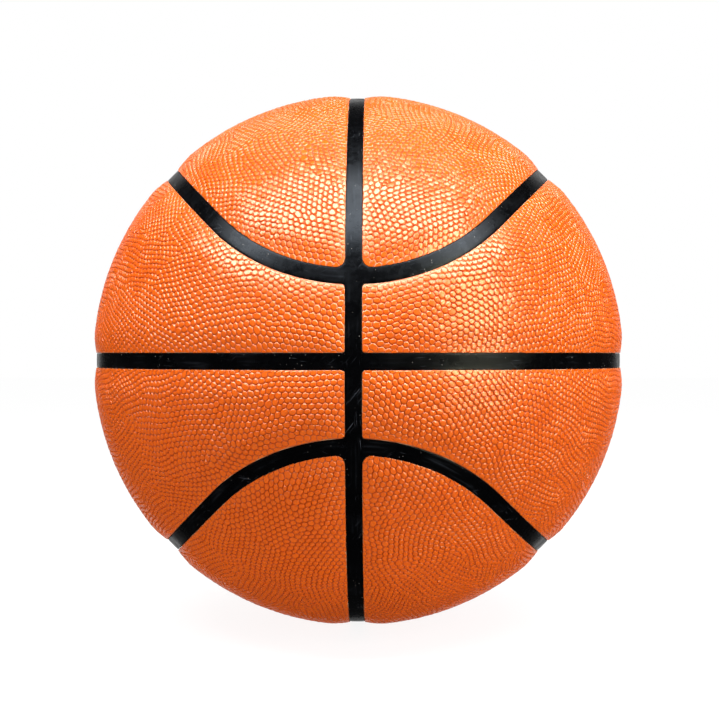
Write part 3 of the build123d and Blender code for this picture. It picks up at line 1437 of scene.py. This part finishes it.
class Recipe:
    """Node tree of one finish, with short calls that add its nodes and join them."""

    def __init__(self, name: str) -> None:
        """Starts a material with its shader and texture coordinates.

        Args:
            name: Name of the material.
        """
        self.material = bpy.data.materials.new(name)
        self.material.use_nodes = True
        self.tree = self.material.node_tree
        self.shader = self.tree.nodes["Principled BSDF"]
        coordinates = self.add("ShaderNodeTexCoord")
        self.place = coordinates.outputs["Object"]
        self.strip_map = coordinates.outputs["UV"]

    def add(self, kind: str, **settings: object) -> bpy.types.Node:
        """Adds a node and sets its options.

        Args:
            kind: Type of the node.
            **settings: Options of the node.

        Returns:
            The new node.
        """
        node = self.tree.nodes.new(kind)
        for option, value in settings.items():
            setattr(node, option, value)
        return node

    def feed(self, socket: bpy.types.NodeSocket, source: object) -> None:
        """Joins an output to a socket, or sets the socket to a value.

        Args:
            socket: Input socket of a node.
            source: Output socket of another node, or a value.
        """
        if isinstance(source, bpy.types.NodeSocket):
            self.tree.links.new(source, socket)
        else:
            socket.default_value = source

    def set(self, **values: object) -> None:
        """Sets inputs of the shader.

        Args:
            **values: Values or outputs, by the input's name with underscores.
        """
        for name, source in values.items():
            wanted = name.replace("_", " ").lower()
            socket = next(s for s in self.shader.inputs if s.name.lower() == wanted)
            self.feed(socket, source)

    def attribute(self, name: str) -> bpy.types.NodeSocket:
        """Number that the mesh stores under a name."""
        return self.add("ShaderNodeAttribute", attribute_name=name).outputs["Fac"]

    def stretched(self, source: bpy.types.NodeSocket, scale: Triple,
                  turn: float = 0.0) -> bpy.types.NodeSocket:
        """Turns texture coordinates, and then scales them apart along each axis.

        Args:
            source: The coordinates.
            scale: Factor along each axis.
            turn: Angle of the turn.

        Returns:
            The new coordinates.
        """
        mapping = self.add("ShaderNodeMapping", vector_type="TEXTURE")
        self.feed(mapping.inputs["Vector"], source)
        mapping.inputs["Rotation"].default_value[2] = turn
        mapping.inputs["Scale"].default_value = [1 / share for share in scale]
        return mapping.outputs["Vector"]

    def noise(self, grain: float, detail: float,
              source: bpy.types.NodeSocket | None = None) -> bpy.types.NodeSocket:
        """Adds cloudy noise.

        Args:
            grain: Length of its patches, in units of its coordinates.
            detail: How many finer layers it has.
            source: Its coordinates, or None for the place on the ball in metres.

        Returns:
            The noise, about 0.5 on average.
        """
        node = self.add("ShaderNodeTexNoise")
        self.feed(node.inputs["Vector"], source or self.place)
        node.inputs["Scale"].default_value = 1 / grain
        node.inputs["Detail"].default_value = detail
        return node.outputs["Fac"]

    def cells(self, size: float) -> bpy.types.NodeSocket:
        """Adds a pattern of cells.

        Args:
            size: Width of a cell in metres.

        Returns:
            Distance from the nearest cell's centre, in cells.
        """
        node = self.add("ShaderNodeTexVoronoi", feature="F1")
        self.feed(node.inputs["Vector"], self.place)
        node.inputs["Scale"].default_value = 1 / size
        return node.outputs["Distance"]

    def range(self, value: object, span: Span, to: Span = (0.0, 1.0)) -> bpy.types.NodeSocket:
        """Maps a number from one range to another, and holds it at the ends.

        Args:
            value: The number.
            span: Ends of the range that it comes from.
            to: Ends of the range that it goes to.

        Returns:
            The mapped number.
        """
        node = self.add("ShaderNodeMapRange", interpolation_type="SMOOTHSTEP")
        sockets = ("Value", "From Min", "From Max", "To Min", "To Max")
        for socket, source in zip(sockets, (value, *span, *to)):
            self.feed(node.inputs[socket], source)
        return node.outputs["Result"]

    def sum(self, operation: str, first: object, second: object) -> bpy.types.NodeSocket:
        """Works out a sum on two numbers.

        Args:
            operation: Blender's name for the sum.
            first: First number or output.
            second: Second number or output.

        Returns:
            The result.
        """
        node = self.add("ShaderNodeMath", operation=operation)
        self.feed(node.inputs[0], first)
        self.feed(node.inputs[1], second)
        return node.outputs[0]

    def mix(self, share: object, first: object, second: object) -> bpy.types.NodeSocket:
        """Mixes two colours.

        Args:
            share: Share of the second colour.
            first: First colour or output.
            second: Second colour or output.

        Returns:
            The mixed colour.
        """
        node = self.add("ShaderNodeMix", data_type="RGBA", blend_type="MIX")
        sockets = [s for s in node.inputs if s.enabled]
        for socket, source in zip(sockets, (share, first, second)):
            self.feed(socket, source)
        return next(s for s in node.outputs if s.enabled)

    def bump(self, height: bpy.types.NodeSocket, depth: float, strength: float) -> None:
        """Adds fine bumps to the shader's normal.

        Args:
            height: Height of the bumps, from 0 to 1.
            depth: Their depth in metres.
            strength: Share of the bumps that is used.
        """
        node = self.add("ShaderNodeBump")
        node.inputs["Strength"].default_value = strength
        node.inputs["Distance"].default_value = depth
        self.feed(node.inputs["Height"], height)
        self.feed(self.shader.inputs["Normal"], node.outputs["Normal"])


@dataclass(frozen=True)
class CoverFinish:
    """Orange embossed composite: brighter on the pebbles' tops, with shade painted darker into the valleys
    between them.
    """

    top: Colour = display(241, 102, 3)
    warm_top: Colour = display(237, 97, 2)
    # valley is painted shade: a darker orange that stands in for the shade in the valleys between the
    # pebbles.
    valley: Colour = display(182, 66, 1)
    bloom: Colour = display(243, 108, 7)
    cloud_size: float = 38.0 * MM
    cloud_span: Span = (0.42, 0.72)
    cloud_share: Span = (0.0, 0.12)
    speck_grains: int = 4
    speck_span: Span = (0.35, 0.75)
    speck_share: Span = (0.0, 0.25)
    # Relief over which the painted valley shade fades into the pebbles' own colour.
    valley_shade_span: Span = (0.05, 0.62)
    shine_span: Span = (0.3, 0.9)
    roughness: Span = (0.46, 0.24)
    grain_size: float = 0.22 * MM
    grain_span: Span = (0.3, 0.7)
    grain_roughness: Span = (-0.04, 0.06)
    grain_depth: float = 0.03 * MM
    grain_strength: float = 0.22
    gloss: float = 0.5
    gloss_tint: Colour = (1.0, 0.98, 0.84, 1.0)

    def material(self) -> bpy.types.Material:
        """Makes the finish's material.

        Returns:
            The material, for the pieces to share.
        """
        recipe = Recipe("orange_composite")
        relief, tone = recipe.attribute("relief"), recipe.attribute("tone")
        colour = recipe.mix(tone, self.top, self.warm_top)
        cloud = recipe.noise(self.cloud_size, detail=4.0)
        cloud = recipe.range(cloud, self.cloud_span, self.cloud_share)
        colour = recipe.mix(cloud, colour, self.bloom)
        speck = recipe.noise(self.grain_size * self.speck_grains, detail=3.0)
        speck = recipe.range(speck, self.speck_span, self.speck_share)
        colour = recipe.mix(speck, colour, self.warm_top)
        # Painted shade: the colour darkens towards the valleys, where the relief attribute is low.
        colour = recipe.mix(recipe.range(relief, self.valley_shade_span), self.valley, colour)
        grain = recipe.noise(self.grain_size, detail=4.0)
        shine = recipe.range(relief, self.shine_span, self.roughness)
        shine = recipe.sum("ADD", shine, recipe.range(grain, self.grain_span, self.grain_roughness))
        recipe.set(base_color=colour, roughness=shine)
        recipe.set(specular_ior_level=self.gloss, specular_tint=self.gloss_tint)
        recipe.bump(grain, self.grain_depth, self.grain_strength)
        return recipe.material


@dataclass(frozen=True)
class CutEdgeFinish:
    """Pale fabric backing that shows where a cover is cut."""

    pale: Colour = display(226, 172, 126)
    stained: Colour = display(188, 92, 34)
    stain_size: float = 9.0 * MM
    stain_span: Span = (0.36, 0.52)
    fibre_size: float = 0.35 * MM
    fibre_span: Span = (0.4, 0.8)
    fibre_share: Span = (0.0, 0.4)
    matt_span: Span = (0.3, 0.7)
    roughness: Span = (0.75, 0.9)
    fibre_depth: float = 0.05 * MM
    fibre_strength: float = 0.5

    def material(self) -> bpy.types.Material:
        """Makes the finish's material.

        Returns:
            The material, for the pieces to share.
        """
        recipe = Recipe("cover_cut_edge")
        fibre = recipe.noise(self.fibre_size, detail=4.0)
        stain = recipe.range(recipe.noise(self.stain_size, detail=2.0), self.stain_span)
        colour = recipe.mix(stain, self.pale, self.stained)
        share = recipe.range(fibre, self.fibre_span, self.fibre_share)
        recipe.set(base_color=recipe.mix(share, colour, self.stained))
        recipe.set(roughness=recipe.range(fibre, self.matt_span, self.roughness))
        recipe.bump(fibre, self.fibre_depth, self.fibre_strength)
        return recipe.material


@dataclass(frozen=True)
class ChannelFinish:
    """Black channel rubber with a soft shine, rubbed streaks along it and a little dust."""

    black: Colour = display(3, 3, 4)
    rubbed: Colour = display(38, 41, 46)
    scratched: Colour = display(92, 96, 104)
    dust: Colour = display(190, 184, 176)
    streak_stretch: Triple = (45.0, 900.0, 1.0)
    streak_span: Span = (0.5, 0.75)
    cloud_size: float = 16.0 * MM
    cloud_span: Span = (0.45, 0.65)
    rub_share: float = 0.7
    scratch_stretch: Triple = (70.0, 2600.0, 1.0)
    scratch_turns: Span = (radians(4.0), radians(-38.0))
    scratch_span: Span = (0.66, 0.74)
    scratched_size: float = 11.0 * MM
    scratched_span: Span = (0.5, 0.68)
    scratch_share: float = 0.8
    scratch_roughness: float = 0.25
    speck_spacing: float = 1.5 * MM
    speck_span: Span = (0.07, 0.1)
    speck_share: Span = (1.0, 0.0)
    dusty_size: float = 7.0 * MM
    dusty_span: Span = (0.54, 0.66)
    mottle_size: float = 2.4 * MM
    shine_span: Span = (0.35, 0.7)
    roughness: Span = (0.24, 0.36)
    mottle_roughness: Span = (-0.03, 0.05)
    grain_size: float = 0.5 * MM
    streak_height: float = 0.6
    mottle_height: float = 0.5
    bump_depth: float = 0.03 * MM
    bump_strength: float = 0.5
    gloss: float = 0.085
    gloss_tint: Colour = (0.74, 0.86, 1.0, 1.0)

    def scratches(self, recipe: Recipe, turn: float) -> bpy.types.NodeSocket:
        """Fine scratches at an angle to the strip, here and there along it.

        Args:
            recipe: Node tree of the finish.
            turn: Angle of the scratches to the strip.

        Returns:
            How deep each spot is scratched, from 0 to 1.
        """
        along = recipe.stretched(recipe.strip_map, self.scratch_stretch, turn)
        line = recipe.noise(grain=1.0, detail=2.0, source=along)
        where = recipe.range(recipe.noise(self.scratched_size, detail=2.0), self.scratched_span)
        return recipe.sum("MULTIPLY", recipe.range(line, self.scratch_span), where)

    def material(self) -> bpy.types.Material:
        """Makes the finish's material.

        Returns:
            The material, for the pieces to share.
        """
        recipe = Recipe("channel_rubber")
        along = recipe.stretched(recipe.strip_map, self.streak_stretch)
        streak = recipe.noise(grain=1.0, detail=4.0, source=along)
        cloud = recipe.noise(self.cloud_size, detail=3.0)
        mottle = recipe.noise(self.mottle_size, detail=5.0)
        rub = recipe.range(streak, self.streak_span)
        rub = recipe.sum("MULTIPLY", rub, recipe.range(cloud, self.cloud_span))
        colour = recipe.mix(recipe.sum("MULTIPLY", rub, self.rub_share), self.black, self.rubbed)
        scratch = recipe.sum("MAXIMUM", *(self.scratches(recipe, turn) for turn in self.scratch_turns))
        share = recipe.sum("MULTIPLY", scratch, self.scratch_share)
        colour = recipe.mix(share, colour, self.scratched)
        specks = recipe.range(recipe.cells(self.speck_spacing), self.speck_span, self.speck_share)
        patches = recipe.range(recipe.noise(self.dusty_size, detail=2.0), self.dusty_span)
        colour = recipe.mix(recipe.sum("MULTIPLY", specks, patches), colour, self.dust)
        shine = recipe.range(cloud, self.shine_span, self.roughness)
        shine = recipe.sum("ADD", shine, recipe.range(mottle, self.shine_span, self.mottle_roughness))
        rough = recipe.sum("MULTIPLY", scratch, self.scratch_roughness)
        recipe.set(base_color=colour, roughness=recipe.sum("ADD", shine, rough))
        recipe.set(specular_ior_level=self.gloss, specular_tint=self.gloss_tint)
        height = recipe.noise(self.grain_size, detail=4.0)
        height = recipe.sum("ADD", height, recipe.sum("MULTIPLY", streak, self.streak_height))
        height = recipe.sum("ADD", height, recipe.sum("MULTIPLY", mottle, self.mottle_height))
        recipe.bump(height, self.bump_depth, self.bump_strength)
        return recipe.material


@dataclass(frozen=True)
class SpongeFinish:
    """Cream sponge with small open cells, with shade painted darker into its pores."""

    cream: Colour = display(226, 205, 170)
    # pore_shade is painted shade: a darker colour for the shade inside the pores.
    pore_shade: Colour = display(150, 122, 88)
    pore_size: float = 0.9 * MM
    pore_shade_span: Span = (0.15, 0.5)
    matt_span: Span = (0.1, 0.6)
    roughness: Span = (0.98, 0.85)
    pore_depth: float = 0.2 * MM
    pore_strength: float = 0.8

    def material(self) -> bpy.types.Material:
        """Makes the finish's material.

        Returns:
            The material, for the pieces to share.
        """
        recipe = Recipe("sponge_backing")
        pores = recipe.cells(self.pore_size)
        # Painted shade: the colour darkens towards the middle of each pore.
        recipe.set(base_color=recipe.mix(recipe.range(pores, self.pore_shade_span), self.pore_shade, self.cream))
        recipe.set(roughness=recipe.range(pores, self.matt_span, self.roughness))
        recipe.bump(pores, self.pore_depth, self.pore_strength)
        return recipe.material


@dataclass(frozen=True)
class MouldedRubberFinish:
    """Dark moulded rubber with a fine matt grain, for the carcass, the bladder and the valve."""

    name: str
    dark: Colour
    light: Colour
    grain_size: float
    roughness: Span
    cloud_size: float = 14.0 * MM
    cloud_span: Span = (0.35, 0.7)
    grain_span: Span = (0.3, 0.7)
    grain_depth: float = 0.03 * MM
    grain_strength: float = 0.5

    def material(self) -> bpy.types.Material:
        """Makes the finish's material.

        Returns:
            The material, for the pieces to share.
        """
        recipe = Recipe(self.name)
        cloud = recipe.noise(self.cloud_size, detail=3.0)
        grain = recipe.noise(self.grain_size, detail=4.0)
        recipe.set(base_color=recipe.mix(recipe.range(cloud, self.cloud_span), self.dark, self.light))
        recipe.set(roughness=recipe.range(grain, self.grain_span, self.roughness))
        recipe.bump(grain, self.grain_depth, self.grain_strength)
        return recipe.material


@dataclass(frozen=True)
class ThreadFinish:
    """Nylon thread wound over the bladder in crossing layers."""

    thread: Colour = display(214, 204, 182)
    shadow: Colour = display(120, 108, 88)
    pitch: float = 0.9 * MM
    bands_per_pi: int = 10
    sway: float = 0.4
    turns: tuple[Triple, ...] = ((0.3, 0.2, 0.0), (1.1, -0.5, 0.8), (-0.7, 0.9, 1.9))
    thread_span: Span = (0.2, 0.8)
    matt_span: Span = (0.0, 1.0)
    roughness: Span = (0.8, 0.55)
    thread_depth: float = 0.2 * MM
    thread_strength: float = 0.8

    def material(self) -> bpy.types.Material:
        """Makes the finish's material.

        Returns:
            The material, for the pieces to share.
        """
        recipe = Recipe("winding_thread")
        height = None
        for turn in self.turns:
            mapping = recipe.add("ShaderNodeMapping")
            recipe.feed(mapping.inputs["Vector"], recipe.place)
            mapping.inputs["Rotation"].default_value = turn
            wave = recipe.add("ShaderNodeTexWave", wave_type="BANDS", bands_direction="X")
            recipe.feed(wave.inputs["Vector"], mapping.outputs["Vector"])
            wave.inputs["Scale"].default_value = pi / (self.bands_per_pi * self.pitch)
            wave.inputs["Distortion"].default_value = self.sway
            layer = wave.outputs["Fac"]
            height = layer if height is None else recipe.sum("MAXIMUM", height, layer)
        share = recipe.range(height, self.thread_span)
        recipe.set(base_color=recipe.mix(share, self.shadow, self.thread))
        recipe.set(roughness=recipe.range(height, self.matt_span, self.roughness))
        recipe.bump(height, self.thread_depth, self.thread_strength)
        return recipe.material


@dataclass
class Finishes:
    """All materials of the ball, each made once."""

    def __post_init__(self) -> None:
        """Makes the materials."""
        self.cover = CoverFinish().material()
        self.cut_edge = CutEdgeFinish().material()
        self.channel = ChannelFinish().material()
        self.sponge = SpongeFinish().material()
        self.thread = ThreadFinish().material()
        self.carcass = MouldedRubberFinish(
            "carcass_rubber", dark=display(34, 32, 31), light=display(56, 52, 49),
            grain_size=0.6 * MM, roughness=(0.62, 0.78),
        ).material()
        self.butyl = MouldedRubberFinish(
            "bladder_butyl", dark=display(20, 20, 21), light=display(33, 33, 34),
            grain_size=0.9 * MM, roughness=(0.42, 0.58),
        ).material()
        self.valve = MouldedRubberFinish(
            "valve_rubber", dark=display(20, 20, 21), light=display(36, 36, 38),
            grain_size=0.35 * MM, roughness=(0.44, 0.6),
        ).material()

    def dress_inner_layers(self, nodes: dict[str, bpy.types.Object]) -> None:
        """Gives the CAD nodes that stay inside the ball their materials.

        Args:
            nodes: CAD nodes by name.
        """
        layers = {
            "carcass": self.carcass,
            "winding": self.thread,
            "bladder": self.butyl,
            "valve_patch": self.butyl,
        }
        for name, material in layers.items():
            nodes[name].data.materials.clear()
            nodes[name].data.materials.append(material)
            LOG.info("%s: CAD node with %s", name, material.name)


@dataclass(frozen=True)
class Softbox:
    """One studio lamp with a rectangular face, aimed at the ball's centre.

    One that lights falls on matt surfaces, and one that is mirrored shows in shiny ones.
    """

    name: str
    place: Triple
    width: float
    height: float
    power: float
    lights: bool = True
    mirrored: bool = True
    colour: Triple = (1.0, 1.0, 1.0)

    def add(self) -> None:
        """Hangs the lamp."""
        lamp = bpy.data.lights.new(self.name, "AREA")
        lamp.shape = "RECTANGLE"
        lamp.size, lamp.size_y, lamp.energy = self.width, self.height, self.power
        lamp.color = self.colour
        holder = bpy.data.objects.new(self.name, lamp)
        holder.location = self.place
        holder.visible_diffuse, holder.visible_glossy = self.lights, self.mirrored
        holder.rotation_euler = (-Vector(self.place)).to_track_quat("-Z", "Y").to_euler()
        bpy.context.scene.collection.objects.link(holder)


@dataclass(frozen=True)
class Studio:
    """White studio with soft lamps, and the camera at the photograph's angle."""

    ball: BallLayout
    frame_pixels: int = 719
    focal_pixels: float = 1298.0
    ball_pixel: Span = (358.3, 360.0)
    distance_radii: float = 5.0
    azimuth: float = radians(0.9)
    elevation: float = radians(0.28)
    sensor: float = 36.0
    clip: Span = (0.01, 100.0)
    floor_size: float = 12.0
    floor_paint: Colour = display(120, 120, 120)
    floor_roughness: float = 0.9
    world_light: float = 0.48
    world_shine: float = 0.03
    floor_shown: float = 0.9
    floor_glow: float = 0.49
    softboxes: tuple[Softbox, ...] = (
        Softbox("top_softbox", (0.0, -0.34, 0.85), 1.4, 0.15, 16.5, mirrored=False),
        Softbox("top_mirror_card", (0.0, -0.42, 0.805), 1.8, 0.46, 60.0, lights=False),
        Softbox("right_softbox", (0.75, -0.56, 0.2), 0.16, 0.8, 3.5, mirrored=False),
        Softbox("right_upper_card", (0.70, -0.62, 0.36), 0.4, 0.54, 12.0, lights=False, colour=WARM_LIGHT),
        Softbox("right_lower_card", (0.70, -0.62, -0.19), 0.4, 0.2, 7.0, lights=False, colour=WARM_LIGHT),
        Softbox("backdrop_card", (0.0, 1.6, 0.1), 2.1, 2.1, 10.0, lights=False),
        Softbox("left_softbox", (-0.85, -0.6, 0.35), 0.8, 0.8, 0.8, mirrored=False),
    )

    def add_floor(self, lowest: float) -> None:
        """Lays the pale floor under the ball.

        Args:
            lowest: Height of the ball's lowest point.
        """
        bpy.ops.object.select_all(action="DESELECT")
        bpy.ops.mesh.primitive_plane_add(size=self.floor_size, location=(0, 0, lowest))
        floor = bpy.context.object
        floor.name = "studio_floor"
        floor.visible_glossy = False
        material = bpy.data.materials.new("pale_floor")
        material.use_nodes = True
        nodes, links = material.node_tree.nodes, material.node_tree.links
        paint = nodes["Principled BSDF"]
        paint.inputs["Base Color"].default_value = self.floor_paint
        paint.inputs["Roughness"].default_value = self.floor_roughness
        paint.inputs["Specular IOR Level"].default_value = 0.0
        glow, both = nodes.new("ShaderNodeEmission"), nodes.new("ShaderNodeAddShader")
        rays, strength = nodes.new("ShaderNodeLightPath"), nodes.new("ShaderNodeMapRange")
        strength.inputs["To Min"].default_value = self.floor_glow
        strength.inputs["To Max"].default_value = self.floor_shown
        links.new(rays.outputs["Is Camera Ray"], strength.inputs["Value"])
        links.new(strength.outputs["Result"], glow.inputs["Strength"])
        links.new(paint.outputs[0], both.inputs[0])
        links.new(glow.outputs[0], both.inputs[1])
        links.new(both.outputs[0], nodes["Material Output"].inputs["Surface"])
        floor.data.materials.append(material)
        floor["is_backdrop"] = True

    def add_world(self) -> None:
        """Lights the ball evenly from all round, and shows white behind it."""
        world = bpy.data.worlds.new("white_studio")
        bpy.context.scene.world = world
        world.use_nodes = True
        nodes, links = world.node_tree.nodes, world.node_tree.links
        rays = nodes.new("ShaderNodeLightPath")
        level, shown = nodes.new("ShaderNodeMapRange"), nodes.new("ShaderNodeMapRange")
        level.inputs["To Min"].default_value = self.world_light
        level.inputs["To Max"].default_value = self.world_shine
        links.new(rays.outputs["Is Glossy Ray"], level.inputs["Value"])
        shown.inputs["To Max"].default_value = 1.0
        links.new(level.outputs["Result"], shown.inputs["To Min"])
        links.new(rays.outputs["Is Camera Ray"], shown.inputs["Value"])
        background = nodes["Background"]
        background.inputs["Color"].default_value = (1, 1, 1, 1)
        links.new(shown.outputs["Result"], background.inputs["Strength"])

    def add_camera(self) -> None:
        """Sets the camera up where the photograph was taken from."""
        lens = bpy.data.cameras.new("camera")
        lens.sensor_width = self.sensor
        lens.lens = self.focal_pixels / self.frame_pixels * self.sensor
        middle = self.frame_pixels / 2
        lens.shift_x = (middle - self.ball_pixel[0]) / self.frame_pixels
        lens.shift_y = (self.ball_pixel[1] - middle) / self.frame_pixels
        lens.clip_start, lens.clip_end = self.clip
        camera = bpy.data.objects.new("camera", lens)
        flat = cos(self.elevation)
        away = Vector((sin(self.azimuth) * flat, -cos(self.azimuth) * flat, sin(self.elevation)))
        camera.location = away * self.distance_radii * self.ball.radius
        camera.rotation_euler = (-away).to_track_quat("-Z", "Y").to_euler()
        bpy.context.scene.collection.objects.link(camera)
        bpy.context.scene.camera = camera

    def build(self) -> None:
        """Sets the studio up round the finished ball."""
        low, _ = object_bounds()
        self.add_floor(low.z)
        self.add_world()
        for softbox in self.softboxes:
            softbox.add()
        self.add_camera()
        bpy.context.scene.view_settings.view_transform = "Standard"


def build_panels(ball: BallLayout, finishes: Finishes) -> None:
    """Makes the eight cover panels, each with the sponge pad under it.

    Args:
        ball: Sizes of the ball.
        finishes: Materials of the ball.
    """
    for seed, (zone, level, side) in enumerate(product(Zone, Level, Side), start=1):
        cover = PebbledCover(ball, zone, level, side, seed)
        cover.dress(cover.build(), finishes)
        pad = SpongePad(cover)
        pad.dress(pad.build(), finishes)


def build_strips(ball: BallLayout, finishes: Finishes) -> None:
    """Makes the seven channel strips.

    Args:
        ball: Sizes of the ball.
        finishes: Materials of the ball.
    """
    plain = mirror_signs(Level.UPPER, Side.RIGHT)
    strips: list[ChannelStrip] = [UprightStrip(ball, "upright_channel", "upright_strip", plain)]
    for side in Side:
        hand = side.value
        signs = mirror_signs(Level.UPPER, side)
        strips.append(EquatorStrip(ball, f"equator_channel_{hand}", f"equator_strip_{hand}", signs))
        for level in Level:
            place = f"{level.value}_{hand}"
            signs = mirror_signs(level, side)
            strips.append(LoopStrip(ball, f"loop_channel_{place}", f"loop_strip_{place}", signs))
    for strip in strips:
        strip.dress(strip.build(), finishes)


def main() -> None:
    """Builds and dresses the ball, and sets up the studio."""
    logging.basicConfig(level=logging.INFO, format="%(name)s: %(message)s")
    ball = BallLayout()
    finishes = Finishes()
    finishes.dress_inner_layers(frame["nodes"])
    build_panels(ball, finishes)
    build_strips(ball, finishes)
    valve = Valve(ball)
    valve.dress(valve.build_housing(), valve.build_plug(), finishes)
    Studio(ball).build()


if __name__ == "__main__":
    main()
